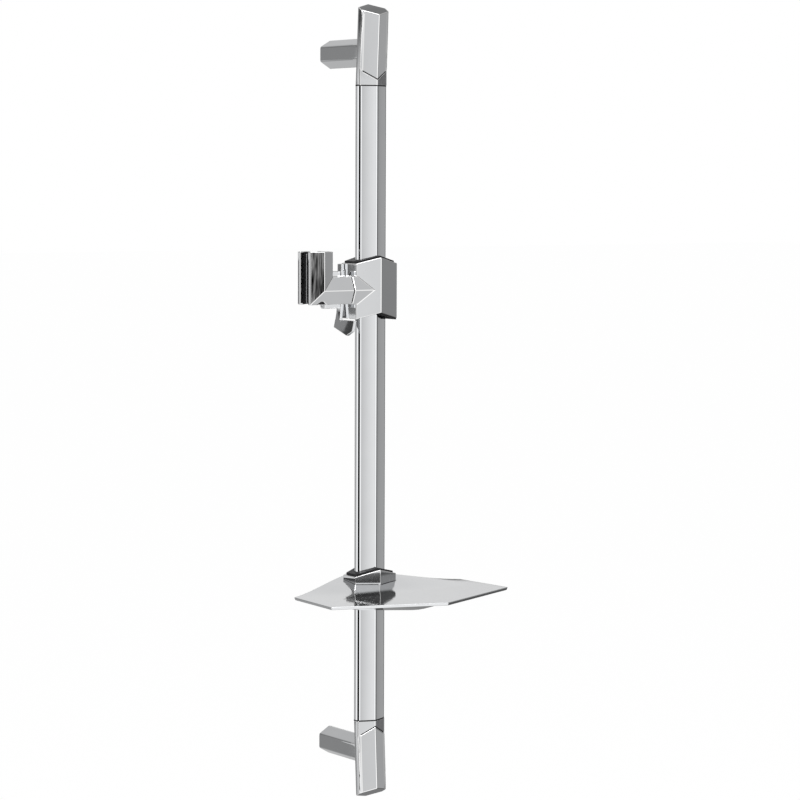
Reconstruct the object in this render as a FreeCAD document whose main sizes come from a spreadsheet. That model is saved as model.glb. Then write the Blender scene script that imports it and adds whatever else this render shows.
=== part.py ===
"""Shower slide rail: a hexagonal rail on two wall posts, with a sliding handset holder and a shelf.

The origin lies on the wall, midway between the two posts. +Y points into the wall, +Z up.
Each piece is drawn about the rail's axis and set in place by its Placement.
"""
import FreeCAD, Part
import math
import os
import re
import Sketcher

DIMENSIONS = {
    # Rail and wall fixing
    "rail_offset": 61.0,
    "rail_length": 554.4,
    "rail_half_width": 14.5,
    "rail_side_flat": 6.3,
    "rail_gable": 6.2,
    "rail_wall": 1.6,
    # End caps
    "cap_front_height": 62.0,
    "cap_blank_height": 80.0,
    "cap_end_slope": 30.0,
    "cap_back_lean": 4.2,
    "shield_half_width": 12.2,
    "shield_gable": 5.58,
    "shield_lean": 0.052,
    "shield_tip": 5.4,
    "shield_back": 1.0,
    "corner_lean": 0.057,
    "corner_tip": 14.0,
    "spigot_length": 18.0,
    "spigot_clearance": 0.1,
    "stub_reach": 13.0,
    "post_rise": 28.8,
    # Wall posts
    "post_across": 21.8,
    "post_wall": 2.6,
    "post_web": 5.0,
    "bush_length": 16.0,
    "bush_clearance": 0.1,
    "wall_screw_hole_radius": 2.75,
    "bush_recess_radius": 5.0,
    "bush_recess_depth": 3.0,
    "grub_radius": 2.0,
    "grub_length": 7.0,
    "grub_inset": 8.0,
    "grub_sink": 0.4,
    "post_screw_radius": 2.0,
    "post_screw_bite": 9.0,
    "post_screw_head_radius": 3.6,
    "post_screw_head_height": 3.4,
    # Slider
    "slider_level": 76.0,
    "slider_half_width": 22.0,
    "slider_height": 48.0,
    "roof_rise": 5.4,
    "slider_ridge": 16.1,
    "slider_front_corner": 9.1,
    "slider_back_corner": 13.0,
    "shell_wall": 2.2,
    "core_clearance": 0.05,
    "core_rise": 1.5,
    "running_clearance": 0.3,
    # Holder pivot, arm and cup
    "arm_height": 25.3,
    "arm_half_height": 11.8,
    "arm_flat_half": 9.5,
    "arm_ridge": 14.2,
    "boss_face": 26.2,
    "boss_back": 5.0,
    "seam_gap": 1.0,
    "cup_centre": 58.5,
    "cup_rise": 33.5,
    "cup_bore_radius": 10.0,
    "cup_slot_half": 5.6,
    "insert_top_radius": 9.0,
    "insert_bottom_radius": 7.8,
    "insert_slot_half": 4.6,
    "insert_inset": 0.4,
    "arm_rib_front": 4.0,
    "arm_rib_back": 12.6,
    "arm_rib_half_height": 16.0,
    "arm_rib_near": 29.0,
    "arm_rib_far": 46.0,
    "bolt_radius": 3.0,
    "bolt_reach": 42.0,
    "bolt_head_radius": 5.0,
    "bolt_head_height": 3.0,
    "pin_clearance": 0.05,
    "washer_inner_radius": 3.2,
    "friction_washer_radius": 8.0,
    "friction_washer_thickness": 0.7,
    "spring_washer_radius": 5.4,
    "spring_washer_thickness": 0.7,
    "head_clearance": 0.1,
    "head_pocket_radius": 6.0,
    # Release lever
    "lever_gap": 0.4,
    "lever_thickness": 3.0,
    "lever_top": 47.5,
    "lever_pivot_height": 17.0,
    "lever_pivot_out": 23.9,
    "lever_stem_front": 8.0,
    "lever_stem_back": 14.0,
    "lever_knee_out": 24.2,
    "lever_knee_drop": 1.0,
    "lever_foot_out": 27.0,
    "lever_foot_back_drop": 7.5,
    "lever_foot_front_drop": 10.0,
    "lever_foot_drop": 14.0,
    "lever_foot_front": 13.0,
    "lever_foot_back": 15.0,
    "lever_tip_forward": 6.0,
    "lever_pin_radius": 1.0,
    "lever_pin_sink": 7.0,
    "lever_pin_head_radius": 1.8,
    "lever_pin_head_height": 1.0,
    "toe_bottom": 34.0,
    "toe_top": 41.0,
    "toe_front": 7.5,
    "toe_back": 10.7,
    "toe_clearance": 0.6,
    "toe_lift_clearance": 1.2,
    "toe_thickness": 1.5,
    "pad_thickness": 1.6,
    "pad_half_width": 3.0,
    "leaf_thickness": 0.4,
    "leaf_bow": 0.3,
    "leaf_bottom": 2.0,
    "leaf_bend": 9.0,
    "leaf_top": 13.0,
    "leaf_front": 9.0,
    "leaf_back": 12.0,
    # Shelf
    "shelf_level": -156.0,
    "plate_thickness": 2.6,
    "rim_drop": 3.0,
    "hump_front": 46.0,
    "hump_rise": 9.0,
    "hump_wide": 0.98,
    "plate_side_half": 90.0,
    "plate_side_reach": 14.0,
    "plate_corner_half": 95.0,
    "plate_corner_reach": 75.6,
    "plate_front_reach": 113.0,
    "plate_back_reach": 25.0,
    "keel_depth": 10.4,
    "keel_wide": 0.9,
    "keel_half_width": 25.0,
    "keel_front_corner": 38.0,
    "keel_front_ridge": 62.0,
    "keel_back_corner": 8.0,
    "keel_back_ridge": 16.0,
    "clamp_side_height": 7.6,
    "clamp_back_corner": 9.1,
    "sleeve_wall": 2.0,
    "collar_half_width": 20.5,
    "collar_corner": 7.6,
    "collar_ridge": 15.0,
    "collar_height": 4.0,
    "shelf_screw_radius": 1.0,
    "shelf_screw_offset": 18.2,
    "shelf_screw_bite": 5.0,
    "shelf_screw_head_radius": 1.9,
    "shelf_screw_head_height": 1.4,
    "lock_screw_radius": 1.2,
    "lock_screw_drop": 2.0,
}

doc = FreeCAD.newDocument("shower_slide_rail")
sheet = doc.addObject("Spreadsheet::Sheet", "sheet")


def fill_sheet():
    """Write every driving dimension to the sheet as an aliased cell."""
    for row, (alias, value) in enumerate(DIMENSIONS.items(), start=1):
        sheet.set(f"A{row}", alias)
        sheet.set(f"B{row}", str(value))
        sheet.setAlias(f"B{row}", alias)
    doc.recompute()


def bound(text):
    """Point each dimension's name in an expression at its cell."""
    def cell(match):
        word = match.group(0)
        return f"sheet.{word}" if word in DIMENSIONS else word
    return re.sub(r"[a-z_]+", cell, text)


# Derived sizes, as expressions of the sheet
RAIL_CORNER = "rail_side_flat / 2"
RAIL_RIDGE = "(rail_side_flat / 2 + rail_gable)"
RAIL_SLOPE = "(rail_gable / rail_half_width)"
HALF_RAIL = "rail_length / 2"
POST_HALF = "post_across / 2"
POST_BORE = "(post_across / 2 - post_wall)"
MOUNT_LEVEL = "(rail_length / 2 + post_rise)"
POST_WEB_END = "(stub_reach + post_web)"
GRUB_END = "(post_across / 2 - grub_sink - grub_length)"
ROOF_TOP = "(slider_height + roof_rise)"
SHELL_SLOPE = "((slider_ridge - slider_front_corner) / slider_half_width)"
CORE_HALF_WIDTH = "(slider_half_width - shell_wall)"
ARM_FACE = "(boss_face + seam_gap)"
BUSH_BORE = f"({POST_BORE} - bush_clearance)"
SHELF_UNDER = "(rim_drop + plate_thickness + keel_depth)"


def add_body(label, level="0", turned=False, shift="0"):
    """A body drawn about the rail's axis, at a height of its own; turned ones hang upside down."""
    body = doc.addObject("PartDesign::Body", label)
    body.Label = label
    if turned:
        body.Placement = FreeCAD.Placement(FreeCAD.Vector(), FreeCAD.Rotation(FreeCAD.Vector(0, 1, 0), 180))
    body.setExpression("Placement.Base.x", bound(shift))
    body.setExpression("Placement.Base.y", bound("-rail_offset"))
    body.setExpression("Placement.Base.z", bound(level))
    return body


def add_sketch(body, name, role, lift):
    """A sketch on one of the body's own origin planes, lifted along its normal."""
    sketch = body.newObject("Sketcher::SketchObject", name)
    plane = next(item for item in body.Origin.OriginFeatures if item.Role == role)
    sketch.AttachmentSupport = [(plane, "")]
    sketch.MapMode = "FlatFace"
    sketch.setExpression("AttachmentOffset.Base.z", bound(lift))
    return sketch


def place_point(sketch, geometry, position, x, y, start):
    """Tie one point to the sketch's origin by two expressions."""
    for kind, text, value in (("DistanceX", x, start.x), ("DistanceY", y, start.y)):
        index = sketch.addConstraint(Sketcher.Constraint(kind, -1, 1, geometry, position, value))
        sketch.setExpression(f"Constraints[{index}]", bound(text))


def draw_polygon(sketch, corners, closed=True):
    """A run of straight sides whose corners are given by expressions."""
    turn = 2 * math.pi / len(corners)
    starts = [FreeCAD.Vector(math.cos(turn * i + 0.3), math.sin(turn * i + 0.3), 0)
              for i in range(len(corners))]
    sides = len(corners) if closed else len(corners) - 1
    for i in range(sides):
        sketch.addGeometry(Part.LineSegment(starts[i], starts[(i + 1) % len(corners)]), False)
    for i in range(sides if closed else sides - 1):
        sketch.addConstraint(Sketcher.Constraint("Coincident", i, 2, (i + 1) % sides, 1))
    for i, (x, y) in enumerate(corners):
        geometry, position = (i, 1) if i < sides else (i - 1, 2)
        place_point(sketch, geometry, position, x, y, starts[i])


def draw_circle(sketch, x, y, radius):
    """A circle whose centre and radius are given by expressions."""
    start = FreeCAD.Vector(0.5, 0.5, 0)
    sketch.addGeometry(Part.Circle(start, FreeCAD.Vector(0, 0, 1), 1.0), False)
    index = sketch.addConstraint(Sketcher.Constraint("Radius", 0, 1.0))
    sketch.setExpression(f"Constraints[{index}]", bound(radius))
    place_point(sketch, 0, 3, x, y, start)


def draw(sketch, shape):
    """Draw a list of corners, or a circle given as centre and radius."""
    if isinstance(shape, list):
        draw_polygon(sketch, shape)
    else:
        draw_circle(sketch, *shape)


def add_prism(body, name, role, start, end, shape):
    """Pad an outline from start to end along the plane's normal."""
    sketch = add_sketch(body, f"{name}_sketch", role, start)
    draw(sketch, shape)
    pad = body.newObject("PartDesign::Pad", name)
    pad.Profile = sketch
    pad.setExpression("Length", bound(f"({end}) - ({start})"))
    doc.recompute()
    return pad


def cut_prism(body, name, role, start, end, shape):
    """Pocket an outline from start to end along the plane's normal."""
    before = body.Shape.Volume
    sketch = add_sketch(body, f"{name}_sketch", role, start)
    draw(sketch, shape)
    pocket = body.newObject("PartDesign::Pocket", name)
    pocket.Profile = sketch
    pocket.Reversed = True
    pocket.setExpression("Length", bound(f"({end}) - ({start})"))
    doc.recompute()
    if body.Shape.Volume >= before:
        raise ValueError(f"{body.Label}: {name} removes nothing")
    return pocket


def add_loft(body, name, role, low, low_shape, high, high_shape):
    """Loft straight sides between two outlines on parallel planes."""
    sections = []
    for end, lift, shape in (("low", low, low_shape), ("high", high, high_shape)):
        sketch = add_sketch(body, f"{name}_{end}", role, lift)
        draw(sketch, shape)
        sections.append(sketch)
    loft = body.newObject("PartDesign::AdditiveLoft", name)
    loft.Profile = sections[0]
    loft.Sections = [sections[1]]
    loft.Ruled = True
    doc.recompute()
    return loft


def hexagon(half_width, front_corner, front_ridge, back_corner=None, back_ridge=None):
    """Six corners in plan: flat sides at +-X, a gable to the front and one to the back."""
    back_corner = back_corner or front_corner
    back_ridge = back_ridge or front_ridge
    return [(f"-({half_width})", f"-({front_corner})"), ("0", f"-({front_ridge})"),
            (half_width, f"-({front_corner})"), (half_width, back_corner),
            ("0", back_ridge), (f"-({half_width})", back_corner)]


def rail_outline(grow):
    """The rail's section with every side moved out by the same distance."""
    half_width = f"(rail_half_width + {grow})"
    ridge = f"({RAIL_RIDGE} + ({grow}) * sqrt(1 + {RAIL_SLOPE}^2))"
    return hexagon(half_width, f"({ridge} - {RAIL_SLOPE} * {half_width})", ridge)


def shell_outline(inset, back_corner):
    """The slider's section, or the clamp's, with every side moved in by the same distance."""
    half_width = f"(slider_half_width - ({inset}))"
    front_ridge = f"(slider_ridge - ({inset}) * sqrt(1 + {SHELL_SLOPE}^2))"
    back_slope = f"((slider_ridge - {back_corner}) / slider_half_width)"
    back_ridge = f"(slider_ridge - ({inset}) * sqrt(1 + {back_slope}^2))"
    return hexagon(half_width, f"({front_ridge} - {SHELL_SLOPE} * {half_width})", front_ridge,
                   f"({back_ridge} - {back_slope} * {half_width})", back_ridge)


def post_outline(half_across, centre="0"):
    """A regular hexagon in X and Z with upright sides and its points up and down."""
    point = f"({half_across}) / cos(30)"
    shoulder = f"({half_across}) * tan(30)"
    return [(f"-({half_across})", f"{centre} - {shoulder}"), ("0", f"{centre} - {point}"),
            (half_across, f"{centre} - {shoulder}"), (half_across, f"{centre} + {shoulder}"),
            ("0", f"{centre} + {point}"), (f"-({half_across})", f"{centre} + {shoulder}")]


def rectangle(left, right, bottom, top):
    """Four corners of a rectangle."""
    return [(left, bottom), (right, bottom), (right, top), (left, top)]


def above_roof(eaves):
    """Everything above a roof whose ridge runs along Y."""
    reach = "2 * slider_half_width"
    return [(f"-({reach})", f"{eaves} - roof_rise"), ("0", f"{eaves} + roof_rise"),
            (reach, f"{eaves} - roof_rise"), (reach, f"{eaves} + 3 * roof_rise"),
            (f"-({reach})", f"{eaves} + 3 * roof_rise")]


def below_roof(eaves):
    """Everything below a roof whose ridge runs along Y."""
    reach = "2 * slider_half_width"
    return [(f"-({reach})", f"{eaves} - roof_rise"), ("0", f"{eaves} + roof_rise"),
            (reach, f"{eaves} - roof_rise")]


def add_cylinder(name, radius, height, axis, place):
    """A plain cylinder along +X, +Y or +Z from a point given by expressions."""
    cylinder = doc.addObject("Part::Cylinder", name)
    cylinder.setExpression("Radius", bound(radius))
    cylinder.setExpression("Height", bound(height))
    cylinder.Placement.Rotation = FreeCAD.Rotation(FreeCAD.Vector(0, 0, 1), axis)
    for letter, text in zip("xyz", place):
        cylinder.setExpression(f"Placement.Base.{letter}", bound(text))
    return cylinder


def group(kind, label, members):
    """Fuse cylinders into one solid, or keep them as separate solids of one node."""
    node = doc.addObject(kind, label)
    node.Label = label
    if kind == "Part::Compound":
        node.Links = members
    else:
        node.Shapes = members
    doc.recompute()
    return node


ALONG_X = FreeCAD.Vector(1, 0, 0)
ALONG_Y = FreeCAD.Vector(0, 1, 0)
ALONG_Z = FreeCAD.Vector(0, 0, 1)


def make_rail_tube():
    """The drawn hexagonal tube."""
    body = add_body("rail_tube")
    add_prism(body, "rail_section", "XY_Plane", f"-{HALF_RAIL}", HALF_RAIL, rail_outline("0"))
    cut_prism(body, "rail_hollow", "XY_Plane", f"-{HALF_RAIL}", HALF_RAIL, rail_outline("-rail_wall"))
    return body


def make_end_cap(label, turned):
    """A cast cap: it carries on the rail's section, then a sharper shield leans forward."""
    body = add_body(label, f"-{HALF_RAIL}" if turned else HALF_RAIL, turned)
    leaned = hexagon("rail_half_width", RAIL_CORNER, RAIL_RIDGE,
                     f"({RAIL_CORNER} - cap_back_lean)", f"({RAIL_RIDGE} - cap_back_lean)")
    add_loft(body, "cap_blank", "XY_Plane", "0", rail_outline("0"), "cap_blank_height", leaned)

    def shield(height):
        ridge = f"(-{RAIL_RIDGE} - shield_lean * ({height} - shield_tip))"
        corner = f"(-{RAIL_CORNER} - corner_lean * ({height} - corner_tip))"
        return [("-rail_half_width", "-shield_back"), ("-rail_half_width", corner),
                ("-shield_half_width", f"{ridge} + shield_gable"), ("0", ridge),
                ("shield_half_width", f"{ridge} + shield_gable"), ("rail_half_width", corner),
                ("rail_half_width", "-shield_back")]

    add_loft(body, "cap_shield", "XY_Plane", "0", shield("0"), "cap_blank_height", shield("cap_blank_height"))
    slope = "tan(cap_end_slope)"
    near = f"cap_front_height + ({RAIL_RIDGE} - rail_offset) * {slope}"
    far = f"cap_front_height + ({RAIL_RIDGE} + rail_offset) * {slope}"
    beyond = "2 * cap_blank_height"
    cut_prism(body, "cap_end_face", "YZ_Plane", "-2 * rail_half_width", "2 * rail_half_width",
              [("-rail_offset", near), ("rail_offset", far), ("rail_offset", beyond), ("-rail_offset", beyond)])
    add_prism(body, "cap_spigot", "XY_Plane", "-spigot_length", "0",
              rail_outline("-rail_wall - spigot_clearance"))
    add_prism(body, "post_stub", "XZ_Plane", "-stub_reach", "0", post_outline(POST_HALF, "post_rise"))
    cut_prism(body, "post_screw_hole", "XZ_Plane", "-stub_reach", "post_screw_bite - stub_reach",
              ("0", "post_rise", "post_screw_radius"))
    return body


def make_wall_post(label, level):
    """A hexagonal post, hollow from the wall, with a web at its front and a grub hole in one side."""
    body = add_body(label, level)
    add_prism(body, "post_section", "XZ_Plane", "-rail_offset", "-stub_reach", post_outline(POST_HALF))
    cut_prism(body, "post_hollow", "XZ_Plane", "-rail_offset", f"-{POST_WEB_END}", post_outline(POST_BORE))
    cut_prism(body, "post_screw_hole", "XZ_Plane", f"-{POST_WEB_END}", "-stub_reach",
              ("0", "0", "post_screw_radius"))
    cut_prism(body, "post_grub_hole", "YZ_Plane", "0", POST_HALF,
              ("rail_offset - grub_inset", "0", "grub_radius"))
    return body


def make_wall_bush(label, level):
    """The plug that is screwed to the wall and that the post slides over."""
    body = add_body(label, level)
    add_prism(body, "bush_section", "XZ_Plane", "-rail_offset", "bush_length - rail_offset",
              post_outline(BUSH_BORE))
    cut_prism(body, "wall_screw_hole", "XZ_Plane", "-rail_offset", "bush_length - rail_offset",
              ("0", "0", "wall_screw_hole_radius"))
    cut_prism(body, "wall_screw_recess", "XZ_Plane", "bush_length - bush_recess_depth - rail_offset",
              "bush_length - rail_offset", ("0", "0", "bush_recess_radius"))
    cut_prism(body, "bush_grub_hole", "YZ_Plane", GRUB_END, POST_HALF,
              ("rail_offset - grub_inset", "0", "grub_radius"))
    return body


def make_post_fasteners():
    """The grub screws in the posts' sides, and the screws that hold the posts to the caps."""
    grubs = []
    screws = []
    for side, level in (("upper", MOUNT_LEVEL), ("lower", f"-{MOUNT_LEVEL}")):
        grubs.append(add_cylinder(f"{side}_grub", "grub_radius", "grub_length", ALONG_X,
                                  (GRUB_END, "-grub_inset", level)))
        shank = add_cylinder(f"{side}_post_screw_shank", "post_screw_radius", "post_screw_bite + post_web",
                             ALONG_Y, ("0", "stub_reach - post_screw_bite - rail_offset", level))
        head = add_cylinder(f"{side}_post_screw_head", "post_screw_head_radius", "post_screw_head_height",
                            ALONG_Y, ("0", f"{POST_WEB_END} - rail_offset", level))
        screws.append(group("Part::MultiFuse", f"{side}_post_screw", [shank, head]))
    return [group("Part::Compound", "post_grub_screws", grubs),
            group("Part::Compound", "post_screws", screws)]


def make_slider_body():
    """The slider's chromed shell, with the fixed half of the holder's hexagonal arm."""
    body = add_body("slider_body", "slider_level")
    add_prism(body, "shell_section", "XY_Plane", "0", ROOF_TOP, shell_outline("0", "slider_back_corner"))
    top = "arm_height + arm_half_height"
    bottom = "arm_height - arm_half_height"
    add_prism(body, "pivot_boss", "YZ_Plane", "-boss_face", "0",
              [("-arm_ridge", "arm_height"), ("-arm_flat_half", bottom), ("boss_back", bottom),
               ("boss_back", top), ("-arm_flat_half", top)])
    cut_prism(body, "roof", "XZ_Plane", "-rail_offset", "rail_offset", above_roof("slider_height"))
    cut_prism(body, "underside", "XZ_Plane", "-rail_offset", "rail_offset", below_roof("0"))
    cut_prism(body, "shell_hollow", "XY_Plane", "-roof_rise", ROOF_TOP,
              shell_outline("shell_wall", "slider_back_corner"))
    cut_prism(body, "bolt_hole", "YZ_Plane", "-boss_face", "-rail_half_width",
              ("0", "arm_height", "bolt_radius + pin_clearance"))
    cut_prism(body, "lever_pin_hole", "XZ_Plane", "-boss_back", "lever_pin_sink - boss_back",
              ("-lever_pivot_out", "lever_pivot_height", "lever_pin_radius"))
    cut_prism(body, "toe_window", "YZ_Plane", "-slider_half_width", f"-{CORE_HALF_WIDTH}",
              rectangle("toe_front - toe_clearance", "toe_back + toe_clearance",
                        "toe_bottom - toe_lift_clearance", "toe_top + toe_lift_clearance"))
    return body


def make_slider_core():
    """The dark plastic core that runs on the rail."""
    body = add_body("slider_core", "slider_level")
    top = f"{ROOF_TOP} + core_rise"
    add_prism(body, "core_section", "XY_Plane", "0", top,
              shell_outline("shell_wall + core_clearance", "slider_back_corner"))
    cut_prism(body, "roof", "XZ_Plane", "-rail_offset", "rail_offset",
              above_roof("(slider_height + core_rise)"))
    cut_prism(body, "underside", "XZ_Plane", "-rail_offset", "rail_offset", below_roof("0"))
    cut_prism(body, "rail_bore", "XY_Plane", "-roof_rise", top, rail_outline("running_clearance"))
    cut_prism(body, "bolt_head_pocket", "YZ_Plane", "-slider_half_width", "-rail_half_width",
              ("0", "arm_height", "head_pocket_radius"))
    cut_prism(body, "toe_pocket", "YZ_Plane", "-slider_half_width", "-rail_half_width",
              rectangle("-pad_half_width - toe_clearance", "toe_back + toe_clearance",
                        "toe_bottom - toe_lift_clearance", "toe_top + toe_lift_clearance"))
    return body


def make_release_lever():
    """The release lever: a stem on a pin, a flared foot below and a toe that carries the brake pad."""
    body = add_body("release_lever", "slider_level")
    near = "(slider_half_width + lever_gap)"
    knee = "-lever_knee_drop"
    foot = "-lever_foot_drop"

    def blade(out, level):
        return [(f"-({out})", level), (f"-({out} + lever_thickness)", level)]

    stem = blade(near, "lever_top") + blade(near, "lever_pivot_height")[::-1]
    stem = [stem[0], stem[1], stem[2], blade("lever_knee_out", knee)[1], blade("lever_knee_out", knee)[0], stem[3]]
    add_prism(body, "stem", "XZ_Plane", "-lever_stem_back", "-lever_stem_front", stem)
    flare = blade("lever_knee_out", knee) + blade("lever_foot_out", foot)[::-1]
    add_prism(body, "foot", "XZ_Plane", "-lever_foot_back", "lever_foot_front", flare)
    low = "-2 * lever_foot_drop"
    cut_prism(body, "foot_point", "YZ_Plane", "-2 * lever_foot_out", "0",
              [("-lever_foot_front", "-lever_foot_front_drop"), ("-lever_tip_forward", foot),
               ("lever_foot_back", "-lever_foot_back_drop"), ("lever_foot_back", low), ("-lever_foot_front", low)])
    inner = "(rail_half_width + running_clearance + pad_thickness)"
    add_prism(body, "toe", "XY_Plane", "toe_bottom", "toe_top",
              [(f"-{near} - lever_gap", "toe_front"), (f"-{inner} - toe_thickness", "toe_front"),
               (f"-{inner} - toe_thickness", "-pad_half_width"), (f"-{inner}", "-pad_half_width"),
               (f"-{inner}", "toe_back"), (f"-{near} - lever_gap", "toe_back")])
    cut_prism(body, "pin_hole", "XZ_Plane", "-lever_stem_back", "-lever_stem_front",
              ("-lever_pivot_out", "lever_pivot_height", "lever_pin_radius + pin_clearance"))
    return body


def make_brake_pad():
    """The pad on the lever's toe that grips the rail's side."""
    body = add_body("brake_pad", "slider_level")
    add_prism(body, "pad", "YZ_Plane", "-rail_half_width - running_clearance - pad_thickness",
              "-rail_half_width - running_clearance",
              rectangle("-pad_half_width", "pad_half_width", "toe_bottom", "toe_top"))
    return body


def make_lever_spring():
    """A leaf on the shell's side, bowed towards the lever."""
    body = add_body("lever_spring", "slider_level")
    seat = "slider_half_width"
    add_prism(body, "leaf", "XZ_Plane", "-leaf_back", "-leaf_front",
              [(f"-{seat}", "leaf_top"), (f"-{seat}", "leaf_bend"),
               (f"-{seat} - leaf_bow", "leaf_bottom"), (f"-{seat} - leaf_bow - leaf_thickness", "leaf_bottom"),
               (f"-{seat} - leaf_thickness", "leaf_bend"), (f"-{seat} - leaf_thickness", "leaf_top")])
    return body


def make_lever_pin():
    """The pin in the boss that the lever rocks on."""
    height = "slider_level + lever_pivot_height"
    start = "boss_back - lever_pin_sink"
    shank = add_cylinder("lever_pin_shank", "lever_pin_radius", f"lever_stem_back + lever_gap - ({start})",
                         ALONG_Y, ("-lever_pivot_out", f"{start} - rail_offset", height))
    head = add_cylinder("lever_pin_head", "lever_pin_head_radius", "lever_pin_head_height", ALONG_Y,
                        ("-lever_pivot_out", "lever_stem_back + lever_gap - rail_offset", height))
    return group("Part::MultiFuse", "lever_pin", [shank, head])


def make_washer(label, outer, face, thickness):
    """A flat ring round the holder's pivot, starting at a face and running outwards."""
    body = add_body(label, "slider_level + arm_height")
    end = f"-({face})"
    start = f"-({face}) - {thickness}"
    add_prism(body, "ring", "YZ_Plane", start, end, ("0", "0", outer))
    cut_prism(body, "hole", "YZ_Plane", start, end, ("0", "0", "washer_inner_radius"))
    return body


def make_pivot_bolt():
    """The bolt in the arm, with its head inside the slider."""
    height = "slider_level + arm_height"
    seat = f"({CORE_HALF_WIDTH} - spring_washer_thickness - head_clearance)"
    shank = add_cylinder("bolt_shank", "bolt_radius", f"bolt_reach - {seat}", ALONG_X,
                         ("-bolt_reach", "-rail_offset", height))
    head = add_cylinder("bolt_head", "bolt_head_radius", "bolt_head_height", ALONG_X,
                        (f"-{seat}", "-rail_offset", height))
    return group("Part::MultiFuse", "pivot_bolt", [shank, head])


def make_holder_arm():
    """The mitred elbow: one hexagon carried along the arm and up the cup, bored and slotted."""
    body = add_body("holder_arm", "slider_level + arm_height")
    profile = add_sketch(body, "arm_section", "YZ_Plane", f"-{ARM_FACE}")
    draw(profile, [("-arm_ridge", "0"), ("-arm_flat_half", "-arm_half_height"),
                   ("arm_flat_half", "-arm_half_height"), ("arm_ridge", "0"),
                   ("arm_flat_half", "arm_half_height"), ("-arm_flat_half", "arm_half_height")])
    path = add_sketch(body, "arm_path", "XZ_Plane", "0")
    draw_polygon(path, [(f"-{ARM_FACE}", "0"), ("-cup_centre", "0"), ("-cup_centre", "cup_rise")], closed=False)
    doc.recompute()
    elbow = body.newObject("PartDesign::AdditivePipe", "elbow")
    elbow.Profile = profile
    elbow.Spine = (path, [])
    elbow.Transition = "Right corner"
    doc.recompute()
    add_prism(body, "back_rib", "YZ_Plane", "-arm_rib_far", "-arm_rib_near",
              [("arm_rib_front", "-arm_rib_half_height"), ("arm_flat_half", "-arm_rib_half_height"),
               ("arm_rib_back", "-arm_half_height"), ("arm_rib_back", "arm_half_height"),
               ("arm_flat_half", "arm_rib_half_height"), ("arm_rib_front", "arm_rib_half_height")])
    cut_prism(body, "cup_bore", "XY_Plane", "-arm_half_height", "cup_rise",
              ("-cup_centre", "0", "cup_bore_radius"))
    cut_prism(body, "cup_slot", "XY_Plane", "-arm_half_height", "cup_rise",
              rectangle("-cup_centre - arm_ridge", "-cup_centre", "-cup_slot_half", "cup_slot_half"))
    cut_prism(body, "bolt_hole", "YZ_Plane", "-bolt_reach", f"-{ARM_FACE}", ("0", "0", "bolt_radius"))
    return body


def make_holder_insert():
    """The tapered lining of the cup, with a slot for the hose."""
    body = add_body("holder_insert", "slider_level + arm_height", shift="-cup_centre")
    sketch = add_sketch(body, "insert_profile", "XZ_Plane", "0")
    outer = "cup_bore_radius - core_clearance"
    bottom = "insert_inset - arm_half_height"
    top = "cup_rise - insert_inset"
    draw(sketch, [("insert_bottom_radius", bottom), (outer, bottom), (outer, top), ("insert_top_radius", top)])
    cone = body.newObject("PartDesign::Revolution", "cone")
    cone.Profile = sketch
    cone.ReferenceAxis = (sketch, ["V_Axis"])
    cone.Angle = 360
    doc.recompute()
    cut_prism(body, "hose_slot", "XY_Plane", "-arm_half_height", "cup_rise",
              rectangle("-arm_ridge", "0", "-insert_slot_half", "insert_slot_half"))
    return body


def plate_outline(scale):
    """The shelf's plan, scaled about the rail's axis, with its corners in the order of a hexagon's."""
    plan = [("-plate_corner_half", "-plate_corner_reach"), ("0", "-plate_front_reach"),
            ("plate_corner_half", "-plate_corner_reach"), ("plate_side_half", "-plate_side_reach"),
            ("0", "plate_back_reach"), ("-plate_side_half", "-plate_side_reach")]
    return [(f"({x}) * {scale}", f"({y}) * {scale}") for x, y in plan]


def hump_outline(scale):
    """The hump's upright section on the plate, drawn in towards the plate's side corner."""
    front = f"-plate_side_reach + (plate_side_reach - hump_front) * {scale}"
    back = f"-plate_side_reach + (plate_side_reach + plate_back_reach) * {scale}"
    return [(front, "-rim_drop"), (back, f"hump_rise * {scale} - rim_drop"), (back, "-rim_drop")]


def make_shelf_plate():
    """The shelf: a plate with a folded hump at the back, a keel below and a hole for the rail's sleeve."""
    body = add_body("shelf_plate", "shelf_level")
    add_prism(body, "plate", "XY_Plane", "-rim_drop - plate_thickness", "-rim_drop", plate_outline("1"))
    for side, sign in (("left", "-"), ("right", "")):
        add_loft(body, f"{side}_hump", "YZ_Plane", "0", hump_outline("1"),
                 f"{sign}plate_side_half * hump_wide", hump_outline("(1 - hump_wide)"))
    add_loft(body, "keel", "XY_Plane", "-rim_drop - plate_thickness", plate_outline("keel_wide"),
             f"-{SHELF_UNDER}", hexagon("keel_half_width", "keel_front_corner", "keel_front_ridge",
                                        "keel_back_corner", "keel_back_ridge"))
    cut_prism(body, "clamp_seat", "XY_Plane", "0", "hump_rise",
              shell_outline("-core_clearance", "clamp_back_corner"))
    cut_prism(body, "sleeve_hole", "XY_Plane", f"-{SHELF_UNDER}", "0",
              rail_outline("running_clearance + sleeve_wall + core_clearance"))
    cut_screw_holes(body, f"-{SHELF_UNDER}", "0")
    return body


def cut_screw_holes(body, start, end):
    """Holes for the two shelf screws, beside the rail."""
    for side, sign in (("left", "-"), ("right", "")):
        cut_prism(body, f"{side}_screw_hole", "XY_Plane", start, end,
                  (f"{sign}shelf_screw_offset", "0", "shelf_screw_radius"))


def make_shelf_clamp():
    """The chromed collar on the shelf, with the slider's section and roof."""
    body = add_body("shelf_clamp", "shelf_level")
    top = "clamp_side_height + roof_rise"
    add_prism(body, "clamp_section", "XY_Plane", "0", top, shell_outline("0", "clamp_back_corner"))
    cut_prism(body, "roof", "XZ_Plane", "-rail_offset", "rail_offset", above_roof("clamp_side_height"))
    cut_prism(body, "clamp_hollow", "XY_Plane", "0", top, shell_outline("shell_wall", "clamp_back_corner"))
    return body


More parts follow.
